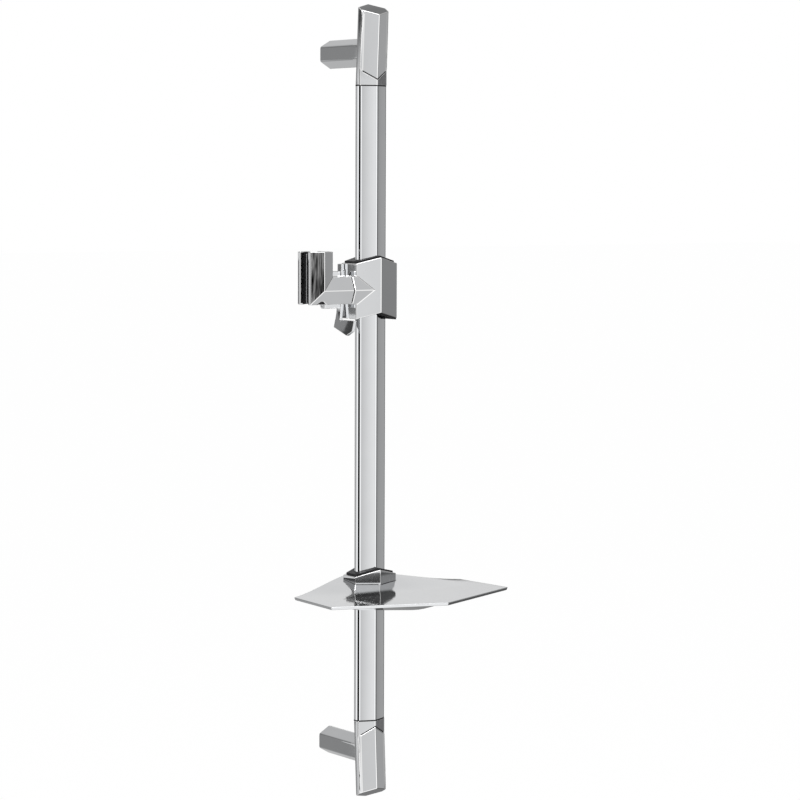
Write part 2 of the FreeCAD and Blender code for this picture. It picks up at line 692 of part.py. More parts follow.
def make_shelf_core():
    """The shelf's dark core: a block in the clamp and a sleeve through the plate and the collar."""
    body = add_body("shelf_core", "shelf_level")
    top = "clamp_side_height + core_rise + roof_rise"
    sleeve_end = f"-{SHELF_UNDER} - collar_height"
    add_prism(body, "core_block", "XY_Plane", "0", top,
              shell_outline("shell_wall + core_clearance", "clamp_back_corner"))
    add_prism(body, "sleeve", "XY_Plane", sleeve_end, "0", rail_outline("running_clearance + sleeve_wall"))
    cut_prism(body, "roof", "XZ_Plane", "-rail_offset", "rail_offset",
              above_roof("(clamp_side_height + core_rise)"))
    cut_prism(body, "rail_bore", "XY_Plane", sleeve_end, top, rail_outline("running_clearance"))
    cut_screw_holes(body, "0", "shelf_screw_bite")
    return body


def make_shelf_collar():
    """The collar under the plate, screwed up into the core."""
    body = add_body("shelf_collar", "shelf_level")
    top = f"-{SHELF_UNDER}"
    bottom = f"{top} - collar_height"
    add_prism(body, "collar_section", "XY_Plane", bottom, top,
              hexagon("collar_half_width", "collar_corner", "collar_ridge"))
    cut_prism(body, "collar_bore", "XY_Plane", bottom, top,
              rail_outline("running_clearance + sleeve_wall + core_clearance"))
    cut_screw_holes(body, bottom, top)
    cut_prism(body, "lock_screw_hole", "XZ_Plane", "-collar_ridge", "0",
              ("0", f"{top} - lock_screw_drop", "lock_screw_radius"))
    return body


def make_shelf_fasteners():
    """The two screws under the collar and the lock screw behind it."""
    top = f"shelf_level - {SHELF_UNDER}"
    bottom = f"{top} - collar_height"
    screws = []
    for side, sign in (("left", "-"), ("right", "")):
        place = (f"{sign}shelf_screw_offset", "-rail_offset")
        shank = add_cylinder(f"{side}_shelf_screw_shank", "shelf_screw_radius",
                             f"shelf_level + shelf_screw_bite - ({bottom})", ALONG_Z, (*place, bottom))
        head = add_cylinder(f"{side}_shelf_screw_head", "shelf_screw_head_radius", "shelf_screw_head_height",
                            ALONG_Z, (*place, f"{bottom} - shelf_screw_head_height"))
        screws.append(group("Part::MultiFuse", f"{side}_shelf_screw", [shank, head]))
    sleeve = f"({RAIL_RIDGE} + (running_clearance + sleeve_wall) * sqrt(1 + {RAIL_SLOPE}^2))"
    lock = add_cylinder("shelf_lock_screw", "lock_screw_radius", f"collar_ridge - {sleeve}", ALONG_Y,
                        ("0", f"{sleeve} - rail_offset", f"{top} - lock_screw_drop"))
    lock.Label = "shelf_lock_screw"
    doc.recompute()
    return [group("Part::Compound", "shelf_screws", screws), lock]


def make_all():
    """Build every sub-part in order."""
    nodes = [make_rail_tube(), make_end_cap("upper_end_cap", False), make_end_cap("lower_end_cap", True)]
    for side, level in (("upper", MOUNT_LEVEL), ("lower", f"-{MOUNT_LEVEL}")):
        nodes.append(make_wall_post(f"{side}_wall_post", level))
        nodes.append(make_wall_bush(f"{side}_wall_bush", level))
    nodes += make_post_fasteners()
    nodes += [make_slider_body(), make_slider_core(), make_release_lever(), make_brake_pad(),
              make_lever_spring(), make_lever_pin()]
    nodes.append(make_washer("friction_washer", "friction_washer_radius", "boss_face",
                             "friction_washer_thickness"))
    nodes.append(make_washer("spring_washer", "spring_washer_radius",
                             f"{CORE_HALF_WIDTH} - spring_washer_thickness", "spring_washer_thickness"))
    nodes += [make_pivot_bolt(), make_holder_arm(), make_holder_insert()]
    nodes += [make_shelf_plate(), make_shelf_clamp(), make_shelf_core(), make_shelf_collar()]
    nodes += make_shelf_fasteners()
    return nodes


def check(nodes):
    """Stop before writing if any object failed or any sub-part has a bad shape."""
    for item in doc.Objects:
        if "Invalid" in item.State or "Error" in item.State:
            raise RuntimeError(f"{item.Label} failed: {item.State}")
    for node in nodes:
        if node.Shape.isNull() or not node.Shape.isValid():
            raise RuntimeError(f"{node.Label} has no valid shape")


def main():
    """Fill the sheet, build the sub-parts and write one file for each."""
    fill_sheet()
    nodes = make_all()
    doc.recompute()
    check(nodes)
    os.makedirs("parts", exist_ok=True)
    for node in nodes:
        node.Shape.exportStep(os.path.join("parts", f"{node.Label}.step"))
        print(node.Label, len(node.Shape.Solids), round(node.Shape.Volume, 1))


main()
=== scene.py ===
"""Looks of a chromed shower slide rail, with its sliding handset holder and shelf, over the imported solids."""
import logging
import math
from dataclasses import dataclass, field, replace
from enum import Enum

import bmesh
import bpy
import numpy as np
from mathutils import Matrix, Vector


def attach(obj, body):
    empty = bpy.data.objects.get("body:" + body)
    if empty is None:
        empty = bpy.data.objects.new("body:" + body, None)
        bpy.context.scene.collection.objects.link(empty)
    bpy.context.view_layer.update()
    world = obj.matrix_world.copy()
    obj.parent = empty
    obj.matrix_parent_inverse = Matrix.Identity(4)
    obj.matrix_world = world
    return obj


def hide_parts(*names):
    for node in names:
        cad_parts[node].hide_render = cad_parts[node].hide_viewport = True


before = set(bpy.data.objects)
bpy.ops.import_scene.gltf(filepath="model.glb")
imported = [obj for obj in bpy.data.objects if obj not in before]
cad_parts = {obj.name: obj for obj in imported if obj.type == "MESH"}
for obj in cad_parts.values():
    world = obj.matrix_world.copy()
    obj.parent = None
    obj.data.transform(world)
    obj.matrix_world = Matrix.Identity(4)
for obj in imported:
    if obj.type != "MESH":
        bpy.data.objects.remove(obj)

LOG = logging.getLogger("shower_slide_rail")
MM = 0.001
IMAGE_PIXELS = 800

# Lengths are in millimetres and areas in square millimetres. The two merging distances are in metres.
RAIL_OFFSET = 61.0
ARC_STEPS = 6
SIDE_STEPS = 8
RIM_STEPS = 4
LEAST_RADIUS = 0.05
SHARP_DEGREES = 40.0
SMOOTH_DEGREES = 18.0
FLAT_DEGREES = 0.3
LEAST_AREA = 6.0
MERGE_DISTANCE = 2e-6
DOUBLES_DISTANCE = 1e-7
FLAT_WEIGHT = 100
BEVEL_SEGMENTS = 4
EDGE_SLOT = 1
BEAD_AROUND = 16
BEAD_STATIONS = (0.0, 0.02, 0.96, 0.98)
MIX_FIRST, MIX_SECOND, MIX_RESULT = 6, 7, 2
WHITE = (1.0, 1.0, 1.0, 1.0)
# The next four set the painted reflection on the cup's front-left face: dark upright streaking in the base
# colour.
REFLECTION_NEARNESS = (0.985, 0.995)
REFLECTION_DRAW = (1.0, 1.0, 0.08)
REFLECTION_NOISE = {"Scale": 420.0, "Detail": 3.0, "Roughness": 0.6}
PAINTED_REFLECTION_SHADES = ((0.34, 0.0), (0.44, 0.05), (0.52, 0.16), (0.58, 0.30), (0.68, 0.02))


class Axis(Enum):
    """The way that a carried profile runs, with the order in which its columns become X, Y and Z."""

    UP = (0, 1, 2)
    TO_WALL = (0, 2, 1)


def toward(bearing: float, lift: float) -> Vector:
    """The unit vector to a bearing in degrees from the front, to the right, and a lift above the level."""
    turn, rise = math.radians(bearing), math.radians(lift)
    return Vector((math.sin(turn) * math.cos(rise), -math.cos(turn) * math.cos(rise), math.sin(rise)))


def facing_back(away: Vector) -> Matrix:
    """The turn that points an object's Z axis along a direction, and its Y axis up."""
    return away.to_track_quat("Z", "Y").to_matrix().to_4x4()


def gabled(half: float, corner: float, ridge: float) -> np.ndarray:
    """Six corners of a section with a gable at front and back, anticlockwise from the front left."""
    return np.array([(-half, -corner), (0.0, -ridge), (half, -corner),
                     (half, corner), (0.0, ridge), (-half, corner)])


def smooth_step(share: np.ndarray) -> np.ndarray:
    """Ease from 0 to 1 by s*s*(3 - 2*s)."""
    return share * share * (3.0 - 2.0 * share)


def inset_corners(corners: np.ndarray, inset: float) -> np.ndarray:
    """Move every side of a closed polygon inwards by one distance.

    Each corner slides along its bisector by inset / (1 + n1.n2), where n1 and n2 are its two sides' normals.

    Args:
        corners: Corners in order, anticlockwise, shape (n, 2).
        inset: Distance that the sides move inwards.

    Returns:
        The moved corners, shape (n, 2).
    """
    ahead = np.roll(corners, -1, axis=0) - corners
    ahead = ahead / np.linalg.norm(ahead, axis=1, keepdims=True)
    after = np.stack([-ahead[:, 1], ahead[:, 0]], axis=1)
    before = np.roll(after, 1, axis=0)
    share = 1.0 + np.sum(after * before, axis=1, keepdims=True)
    return corners + inset * (after + before) / share


def bowed_outline(corners: np.ndarray, radius: float | np.ndarray, steps: int, along: int,
                  bow: float = 0.0) -> np.ndarray:
    """Round a closed polygon's corners with arcs and lay points along its sides, which may bow outwards.

    A corner's arc starts r*tan(turn/2) before it and ends as far after it, about a centre on the bisector.
    A side's point at share s stands bow*4*s*(1 - s) outside the straight line between its two arcs.

    Args:
        corners: Corners in order, anticlockwise, shape (n, 2).
        radius: Radius of the corners, one for all or one each.
        steps: Steps in each arc.
        along: Steps along each side.
        bow: How far the middle of a side stands out.

    Returns:
        Points along the outline, shape (n * (steps + along), 2).
    """
    radius = np.full(len(corners), radius)[:, None]
    ahead = np.roll(corners, -1, axis=0) - corners
    ahead = ahead / np.linalg.norm(ahead, axis=1, keepdims=True)
    behind = np.roll(ahead, 1, axis=0)
    across = behind[:, 0] * ahead[:, 1] - behind[:, 1] * ahead[:, 0]
    turn = np.arctan2(across, np.sum(behind * ahead, axis=1))[:, None]
    inward = np.stack([-behind[:, 1], behind[:, 0]], axis=1) * np.sign(turn)
    centre = corners - behind * radius * np.abs(np.tan(turn / 2)) + inward * radius
    first = np.arctan2(-inward[:, 1], -inward[:, 0])[:, None]
    angle = first + turn * np.linspace(0.0, 1.0, steps + 1)
    arcs = centre[:, None] + np.stack([np.cos(angle), np.sin(angle)], axis=2) * radius[:, None]
    start, end = arcs[:, -1], np.roll(arcs[:, 0], -1, axis=0)
    share = np.linspace(0.0, 1.0, along + 1)[None, 1:-1, None]
    run = end - start
    outward = np.stack([run[:, 1], -run[:, 0]], axis=1) / np.linalg.norm(run, axis=1, keepdims=True)
    sides = start[:, None] + share * run[:, None] + 4 * bow * share * (1 - share) * outward[:, None]
    return np.concatenate([arcs, sides], axis=1).reshape(-1, 2)


def quarter_round(radius: float, steps: int) -> np.ndarray:
    """Stations of a rounded rim, as pairs of rise and inset.

    rise = r*(1 - cos a) and inset = r*(1 - sin a), for a from 0 to a quarter turn.

    Args:
        radius: Radius of the rim.
        steps: Steps in the quarter turn.

    Returns:
        The stations, shape (steps + 1, 2).
    """
    angle = np.linspace(0.0, math.pi / 2, steps + 1)
    return np.stack([radius * (1 - np.cos(angle)), radius * (1 - np.sin(angle))], axis=1)


def grid_faces(rings: int, around: int) -> np.ndarray:
    """Quads that join closed rings of points, each ring to the next one.

    Args:
        rings: Number of rings.
        around: Points in each ring.

    Returns:
        Corner numbers of each quad, shape ((rings - 1) * around, 4).
    """
    first = np.arange(around)
    second = np.roll(first, -1)
    base = (np.arange(rings - 1) * around)[:, None]
    quads = np.stack([base + first, base + second, base + around + second, base + around + first], axis=2)
    return quads.reshape(-1, 4)


def new_piece(name: str, points: np.ndarray, faces: list, smooth: bool = True) -> bpy.types.Object:
    """Put arrays of points and faces into a mesh object at the origin.

    Args:
        name: Name of the piece.
        points: Places in metres, shape (n, 3).
        faces: Corner numbers of each face, anticlockwise from outside.
        smooth: Whether the faces are shaded smooth.

    Returns:
        The linked object.
    """
    mesh = bpy.data.meshes.new(name)
    mesh.from_pydata(points.tolist(), [], faces)
    mesh.polygons.foreach_set("use_smooth", np.full(len(mesh.polygons), smooth))
    mesh.update()
    piece = bpy.data.objects.new(name, mesh)
    bpy.context.scene.collection.objects.link(piece)
    return piece


def flat_sheet(name: str, half_width: float, half_height: float, level: float = 0.0) -> bpy.types.Object:
    """A single face about the Z axis, at one level, which looks up."""
    corners = np.array([(-1.0, -1.0, 1.0), (1.0, -1.0, 1.0), (1.0, 1.0, 1.0), (-1.0, 1.0, 1.0)])
    return new_piece(name, corners * (half_width, half_height, level), [[0, 1, 2, 3]], smooth=False)


def face_outwards(piece: bpy.types.Object) -> None:
    """Merge a closed piece's doubles and turn its faces outwards.

    Args:
        piece: The piece.
    """
    work = bmesh.new()
    work.from_mesh(piece.data)
    bmesh.ops.remove_doubles(work, verts=work.verts, dist=DOUBLES_DISTANCE)
    bmesh.ops.recalc_face_normals(work, faces=work.faces)
    work.to_mesh(piece.data)
    work.free()
    piece.data.update()


def closed_piece(name: str, rings: np.ndarray, smooth: bool = True, on_edge: np.ndarray | None = None
                 ) -> bpy.types.Object:
    """Join closed rings of points into a piece, with a face over the first ring and one over the last.

    Args:
        name: Name of the piece.
        rings: Places in millimetres, shape (rings, around, 3).
        smooth: Whether the faces are shaded smooth, but for sharp edges.
        on_edge: Which of the quads take the finish of the edges, in the order of the rings.

    Returns:
        The piece, with its faces outwards.
    """
    count, around = rings.shape[:2]
    ends = [list(range(around))[::-1], list(range((count - 1) * around, count * around))]
    piece = new_piece(name, rings.reshape(-1, 3) * MM, grid_faces(count, around).tolist() + ends, smooth)
    if on_edge is not None:
        places = EDGE_SLOT * np.concatenate([on_edge, np.zeros(len(ends))]).astype(np.int32)
        piece.data.polygons.foreach_set("material_index", places)
    face_outwards(piece)
    if smooth:
        piece.data.set_sharp_from_angle(angle=math.radians(SHARP_DEGREES))
    return piece


def keep_flats_flat(piece: bpy.types.Object) -> None:
    """Weight the shading by face area, so that flats stay flat between rounded corners.

    Args:
        piece: The piece.
    """
    weighted = piece.modifiers.new("flat_shading", "WEIGHTED_NORMAL")
    weighted.mode = "FACE_AREA"
    weighted.weight = FLAT_WEIGHT
    weighted.keep_sharp = True


def carried_profile(name: str, corners: np.ndarray, radius: float | tuple, low: float, high: float,
                    rim: float, axis: Axis, shift: tuple, bow: float = 0.0, wall: float = 0.0,
                    depth: float = 0.0) -> bpy.types.Object:
    """Carry a rounded polygon along an axis, with a rounded rim at both ends and a bore in the far one.

    Point (u, v) is the outline at u, inset by the rim's quarter circle at v, at the height of v. With a wall,
    two more rings inset by it carry the surface back into the bore. The section's arcs take the finish of the
    edges.

    Args:
        name: Name of the piece.
        corners: Corners of the section in millimetres, anticlockwise.
        radius: Radius of the section's corners in millimetres, one for all or one each.
        low: Where the run starts, in millimetres.
        high: Where the run ends, in millimetres.
        rim: Radius of the rim at both ends, in millimetres.
        axis: The way that the profile runs.
        shift: Place of the section's own origin, in millimetres.
        bow: How far the middle of a side stands out, in millimetres.
        wall: Wall beside the bore, in millimetres; no bore when it is 0.
        depth: Depth of the bore, in millimetres.

    Returns:
        The piece, closed at both ends.
    """
    edge = quarter_round(rim, RIM_STEPS)
    bore = [high, high - depth] if wall else []
    heights = np.concatenate([low + edge[:, 0], (high - edge[:, 0])[::-1], bore])
    insets = np.concatenate([edge[:, 1], edge[::-1, 1], [wall] * len(bore)])
    outline = np.stack([bowed_outline(inset_corners(corners, inset),
                                      np.maximum(np.array(radius) - inset, LEAST_RADIUS),
                                      ARC_STEPS, SIDE_STEPS, bow)
                        for inset in insets])
    rings, around = outline.shape[:2]
    rise = np.broadcast_to(heights[:, None, None], (rings, around, 1))
    points = np.concatenate([outline, rise], axis=2)[..., list(axis.value)] + np.array(shift)
    on_arc = np.tile(np.arange(around) % (around // len(corners)) < ARC_STEPS, rings - 1)
    piece = closed_piece(name, points, on_edge=on_arc)
    keep_flats_flat(piece)
    return piece


def bead(name: str, end: tuple, bend: tuple, facing: tuple, half_width: float,
         rise: float) -> bpy.types.Object:
    """A half-round bead along a V that is the same on both sides of X = 0.

    Ring point at angle a: p + half_width*cos(a)*side + rise*sin(a)*facing. At the bend it is slid along the
    run on to X = 0.

    Args:
        name: Name of the piece.
        end: The V's end at negative X, in millimetres.
        bend: The V's corner at X = 0, in millimetres.
        facing: Way out of the surface under the half at negative X.
        half_width: Half of the bead's width in millimetres.
        rise: Its height over the surface in millimetres.

    Returns:
        The bead, closed at both ends.
    """
    start, corner, out = np.array(end, float), np.array(bend, float), np.array(facing, float)
    length = np.linalg.norm(corner - start)
    run = (corner - start) / length
    out = out / np.linalg.norm(out)
    side = np.cross(out, run)
    angle = np.linspace(0.0, 2.0 * math.pi, BEAD_AROUND + 1)[:-1, None]
    ring = half_width * np.cos(angle) * side + rise * np.sin(angle) * out
    stations = np.array(BEAD_STATIONS)[:, None, None] * length
    half = start + stations * run + ring[None]
    last = corner + ring
    last = last - run * (last[:, :1] / run[0])
    mirrored = half[::-1] * np.array((-1.0, 1.0, 1.0))
    return closed_piece(name, np.concatenate([half, last[None], mirrored]))


def rounded_copy(name: str, node: str, width: float, angle: float) -> bpy.types.Object:
    """Copy a solid's faces, merge them into whole flats and round the edges between the larger ones.

    Args:
        name: Name of the piece.
        node: Node whose faces are copied.
        width: Width of the rounding in millimetres.
        angle: Least angle in degrees at which an edge is rounded.

    Returns:
        The rounded piece.
    """
    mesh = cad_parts[node].data.copy()
    mesh.name = name
    mesh.materials.clear()
    work = bmesh.new()
    work.from_mesh(mesh)
    bmesh.ops.remove_doubles(work, verts=work.verts, dist=MERGE_DISTANCE)
    bmesh.ops.dissolve_limit(work, angle_limit=math.radians(FLAT_DEGREES), verts=work.verts, edges=work.edges)
    work.normal_update()
    weight = work.edges.layers.float.new("bevel_weight_edge")
    for face in work.faces:
        face.smooth = True
    for edge in work.edges:
        turn = math.degrees(edge.calc_face_angle(0.0))
        small = min(face.calc_area() for face in edge.link_faces) < LEAST_AREA * MM * MM
        edge[weight] = 0.0 if turn < angle or small else 1.0
        edge.smooth = turn < SMOOTH_DEGREES or edge[weight] > 0.0
    work.to_mesh(mesh)
    work.free()
    piece = bpy.data.objects.new(name, mesh)
    bpy.context.scene.collection.objects.link(piece)
    bevel = piece.modifiers.new("rounded_edges", "BEVEL")
    bevel.limit_method = "WEIGHT"
    bevel.offset_type = "WIDTH"
    bevel.width = width * MM
    bevel.segments = BEVEL_SEGMENTS
    bevel.use_clamp_overlap = False
    bevel.material = EDGE_SLOT
    keep_flats_flat(piece)
    return piece


class NodeBench:
    """A short hand for wiring one node tree."""

    def __init__(self, tree: bpy.types.NodeTree) -> None:
        """Work on one tree."""
        self.tree = tree

    def feed(self, socket: bpy.types.NodeSocket, value: object) -> None:
        """Set an input to a constant, or join another node's output to it.

        Args:
            socket: The input.
            value: The constant, or the other node's output.
        """
        if isinstance(value, bpy.types.NodeSocket):
            self.tree.links.new(value, socket)
        else:
            socket.default_value = value

    def add(self, kind: str, *given: object, **values: object) -> bpy.types.Node:
        """Add a node, set its properties and feed its inputs with constants or sockets.

        Args:
            kind: Blender's name of the node's type.
            given: What its first inputs get, in order.
            values: Properties by name, and what other inputs get, by name with underscores for spaces.

        Returns:
            The node.
        """
        node = self.tree.nodes.new(kind)
        for key, value in values.items():
            if key in node.bl_rna.properties:
                setattr(node, key, value)
            else:
                self.feed(node.inputs[key.replace("_", " ")], value)
        for socket, value in zip(node.inputs, given):
            self.feed(socket, value)
        return node

    def mix(self, share: bpy.types.NodeSocket, first: object, second: object) -> bpy.types.NodeSocket:
        """Mix two colours, each a constant or a socket.

        Args:
            share: The second colour's share.
            first: The first colour.
            second: The second colour.

        Returns:
            The mixed colour's socket.
        """
        node = self.add("ShaderNodeMix", share, data_type="RGBA")
        self.feed(node.inputs[MIX_FIRST], first)
        self.feed(node.inputs[MIX_SECOND], second)
        return node.outputs[MIX_RESULT]

    def seen(self) -> tuple:
        """Tell what the camera or a mirror sees.

        Returns:
            The light path node, and the socket that is 1 for camera and mirror rays.
        """
        path = self.add("ShaderNodeLightPath")
        either = self.add("ShaderNodeMath", path.outputs["Is Camera Ray"], path.outputs["Is Glossy Ray"],
                          operation="MAXIMUM")
        return path, either.outputs["Value"]


def start_material(name: str) -> tuple:
    """A material with only its output.

    Args:
        name: Name of the material.

    Returns:
        The material, its bench and its output node.
    """
    material = bpy.data.materials.new(name)
    material.use_nodes = True
    material.node_tree.nodes.clear()
    bench = NodeBench(material.node_tree)
    return material, bench, bench.add("ShaderNodeOutputMaterial")


def start_group(name: str, inputs: dict, outputs: dict) -> tuple:
    """A shader node group with named sockets.

    Args:
        name: Name of the group.
        inputs: Default value of each input.
        outputs: Socket type of each output.

    Returns:
        The group, its bench, and its input and output nodes.
    """
    group = bpy.data.node_groups.new(name, "ShaderNodeTree")
    for label, value in inputs.items():
        kind = "NodeSocketVector" if isinstance(value, tuple) else "NodeSocketFloat"
        socket = group.interface.new_socket(label, in_out="INPUT", socket_type=kind)
        socket.default_value = value
    for label, kind in outputs.items():
        group.interface.new_socket(label, in_out="OUTPUT", socket_type=kind)
    bench = NodeBench(group)
    return group, bench, bench.add("NodeGroupInput"), bench.add("NodeGroupOutput")


def layered_group(name: str, layers: dict, tone: str, rough: str, height: str,
                  spread: tuple) -> bpy.types.ShaderNodeTree:
    """Group that gives a surface its uneven shade, roughness and height from two layers of noise.

    Args:
        name: Name of the group.
        layers: Detail of the noise in each layer, by the layer's name.
        tone: The layer that Tone follows.
        rough: The layer that Roughness follows.
        height: The layer that Height follows.
        spread: Values of the noise at the least and the most roughness.

    Returns:
        The group.
    """
    group, bench, given, out = start_group(
        name, {"Place": (0.0, 0.0, 0.0), **{f"{layer} Scale": 1.0 for layer in layers}, "Least Rough": 0.0,
               "Most Rough": 1.0},
        dict.fromkeys(("Tone", "Roughness", "Height"), "NodeSocketFloat"))
    noise = {layer: bench.add("ShaderNodeTexNoise", Vector=given.outputs["Place"], Detail=detail,
                              Scale=given.outputs[f"{layer} Scale"]).outputs["Fac"]
             for layer, detail in layers.items()}
    span = bench.add("ShaderNodeMapRange", Value=noise[rough], From_Min=spread[0], From_Max=spread[1],
                     To_Min=given.outputs["Least Rough"], To_Max=given.outputs["Most Rough"])
    for socket, value in zip(out.inputs, (noise[tone], span.outputs["Result"], noise[height])):
        bench.feed(socket, value)
    return group


def painted_reflection_group() -> bpy.types.ShaderNodeTree:
    """Group that paints a reflection into the base colour, as dark upright streaking on the faces that look one
    way.

    Mask is 1 where the normal lies within a few degrees of Facing. Shade follows a noise drawn out along Z.

    Returns:
        The group.
    """
    group, bench, given, out = start_group(
        "upright_streaks", {"Place": (0.0, 0.0, 0.0), "Normal": (0.0, 0.0, 1.0), "Facing": (0.0, -1.0, 0.0)},
        {"Mask": "NodeSocketFloat", "Shade": "NodeSocketColor"})
    nearness = bench.add("ShaderNodeVectorMath", given.outputs["Normal"], given.outputs["Facing"],
                         operation="DOT_PRODUCT")
    mask = bench.add("ShaderNodeMapRange", Value=nearness.outputs["Value"], From_Min=REFLECTION_NEARNESS[0],
                     From_Max=REFLECTION_NEARNESS[1])
    drawn = bench.add("ShaderNodeVectorMath", given.outputs["Place"], REFLECTION_DRAW, operation="MULTIPLY")
    noise = bench.add("ShaderNodeTexNoise", Vector=drawn.outputs["Vector"], **REFLECTION_NOISE)
    ramp = bench.add("ShaderNodeValToRGB", Fac=noise.outputs["Fac"])
    for place, shade in PAINTED_REFLECTION_SHADES:
        element = ramp.color_ramp.elements.new(place)
        element.color = (shade, shade, shade, 1.0)
    ramp.color_ramp.elements.remove(ramp.color_ramp.elements[-1])
    bench.feed(out.inputs["Mask"], mask.outputs["Result"])
    bench.feed(out.inputs["Shade"], ramp.outputs["Color"])
    return group


@dataclass(frozen=True)
class Finish:
    """What one surface is made of, as the values that a material is wired from.

    Roughness is the least and the most, scales are those of its group's two layers, slot is the record's slot
    where the finish isn't named after it, and the last field is the way that those faces look which get a
    painted reflection: dark upright streaking in the base colour.
    """

    dark: tuple
    light: tuple
    metallic: float
    roughness: tuple
    scales: tuple
    bump_height: float = 0.00001
    specular: float = 0.5
    slot: str = ""
    reflection_facing: tuple = ()

    def material(self, name: str, group: bpy.types.ShaderNodeTree,
                 streaks: bpy.types.ShaderNodeTree) -> bpy.types.Material:
        """Wire the finish: the group's tone mixes two colours, and its height lifts the surface.

        Args:
            name: Name of the material.
            group: The node group that gives the surface its detail.
            streaks: The node group that paints a reflection, as dark upright streaking, on the faces that look
                one way.

        Returns:
            The material.
        """
        material, bench, out = start_material(name)
        place = bench.add("ShaderNodeTexCoord")
        detail = bench.add("ShaderNodeGroup", place.outputs["Object"], *self.scales, *self.roughness,
                           node_tree=group)
        tint = bench.mix(detail.outputs["Tone"], (*self.dark, 1.0), (*self.light, 1.0))
        # Painted reflection: dark upright streaking mixed into the base colour on the faces that look one way.
        if self.reflection_facing:
            drawn = bench.add("ShaderNodeGroup", place.outputs["Object"], place.outputs["Normal"],
                              self.reflection_facing, node_tree=streaks)
            tint = bench.mix(drawn.outputs["Mask"], tint, drawn.outputs["Shade"])
        bump = bench.add("ShaderNodeBump", Strength=1.0, Distance=self.bump_height,
                         Height=detail.outputs["Height"])
        shader = bench.add("ShaderNodeBsdfPrincipled", Base_Color=tint, Metallic=self.metallic,
                           Roughness=detail.outputs["Roughness"], Specular_IOR_Level=self.specular,
                           Normal=bump.outputs["Normal"])
        bench.feed(out.inputs["Surface"], shader.outputs["BSDF"])
        return material


CHROME = Finish((0.74, 0.75, 0.765), (0.80, 0.81, 0.82), 1.0, (0.02, 0.05), (45.0, 800.0))
CHROME_SLOT = "polished_chrome"


class Surface(Enum):
    """The finishes on this object."""

    polished_chrome = CHROME
    # Chrome of the arm, whose cup's front-left face gets a painted reflection as dark upright streaking.
    streaked_chrome = replace(CHROME, slot=CHROME_SLOT, reflection_facing=(-0.3697, -0.9291, 0.0))
    # Whiter chrome for the rounded edges: the rounding is real, and the extra brightness is a painted
    # highlight.
    burnished_edge = replace(CHROME, slot=CHROME_SLOT, dark=(0.98, 0.98, 0.98), light=(1.0, 1.0, 1.0),
                             roughness=(0.02, 0.04))
    # Darker chrome for the thin plate on each cap's right: painted shade.
    shaded_chrome = replace(CHROME, slot=CHROME_SLOT, dark=(0.24, 0.24, 0.25), light=(0.42, 0.42, 0.43),
                            roughness=(0.05, 0.12), scales=(420.0, 800.0))
    satin_chrome = replace(CHROME, slot=CHROME_SLOT, roughness=(0.06, 0.09))
    bright_steel = Finish((0.50, 0.50, 0.51), (0.62, 0.62, 0.63), 1.0, (0.22, 0.34), (140.0, 2400.0))
    dark_plastic = Finish((0.010, 0.010, 0.011), (0.018, 0.018, 0.019), 0.0, (0.32, 0.46), (2600.0, 90.0),
                          specular=0.15)
    pale_nylon = Finish((0.62, 0.61, 0.57), (0.72, 0.71, 0.67), 0.0, (0.40, 0.52), (2400.0, 80.0))
    brake_rubber = Finish((0.016, 0.016, 0.016), (0.030, 0.030, 0.030), 0.0, (0.70, 0.85), (1800.0, 120.0),
                          bump_height=0.00002)


class Palette:
    """The materials, wired once from the finishes."""

    def __init__(self) -> None:
        """Wire the groups and every finish: wipe marks and spots on metal, a fine grain on mouldings."""
        polish = layered_group("polish", {"Swell": 2.0, "Spot": 3.0}, tone="Swell", rough="Spot",
                               height="Swell", spread=(0.35, 0.7))
        mould = layered_group("mould_grain", {"Grain": 4.0, "Shade": 2.0}, tone="Shade", rough="Grain",
                              height="Grain", spread=(0.3, 0.7))
        streaks = painted_reflection_group()
        self.materials = {}
        for surface in Surface:
            group = polish if surface.value.metallic else mould
            self.materials[surface] = surface.value.material(surface.name, group, streaks)

    def dress_nodes(self) -> None:
        """Give every solid the finish of the slot that it carries."""
        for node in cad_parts.values():
            for place in node.material_slots:
                surface = next(kind for kind in Surface if kind.name in place.material.name)
                place.material = self.materials[surface]


@dataclass
class SubAssembly:
    """A group of pieces on one body."""

    palette: Palette
    body: str = "frame"
    pieces: list = field(default_factory=list)

    def finish_piece(self, piece: bpy.types.Object, surface: Surface, *nodes: str,
                     edge: Surface | None = None) -> None:
        """Dress a piece, set it on the body and let it stand for its nodes.

        Args:
            piece: The new piece.
            surface: Its finish.
            nodes: The nodes that it stands for.
            edge: The finish of its rounded edges, where they have their own.
        """
        piece.data.materials.clear()
        for kind in (surface, edge or surface):
            piece.data.materials.append(self.palette.materials[kind])
        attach(piece, self.body)
        if nodes:
            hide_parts(*nodes)
        self.pieces.append(piece)

    def round_node(self, name: str, node: str, width: float, surface: Surface = Surface.polished_chrome,
                   angle: float = SMOOTH_DEGREES) -> None:
        """Let a copy with rounded edges stand for a node, its edges in whiter chrome as a painted highlight.

        Args:
            name: Name of the copy.
            node: The node.
            width: Width of the rounding in millimetres.
            surface: The finish.
            angle: Least angle in degrees at which an edge is rounded.
        """
        self.finish_piece(rounded_copy(name, node, width, angle), surface, node, edge=Surface.burnished_edge)


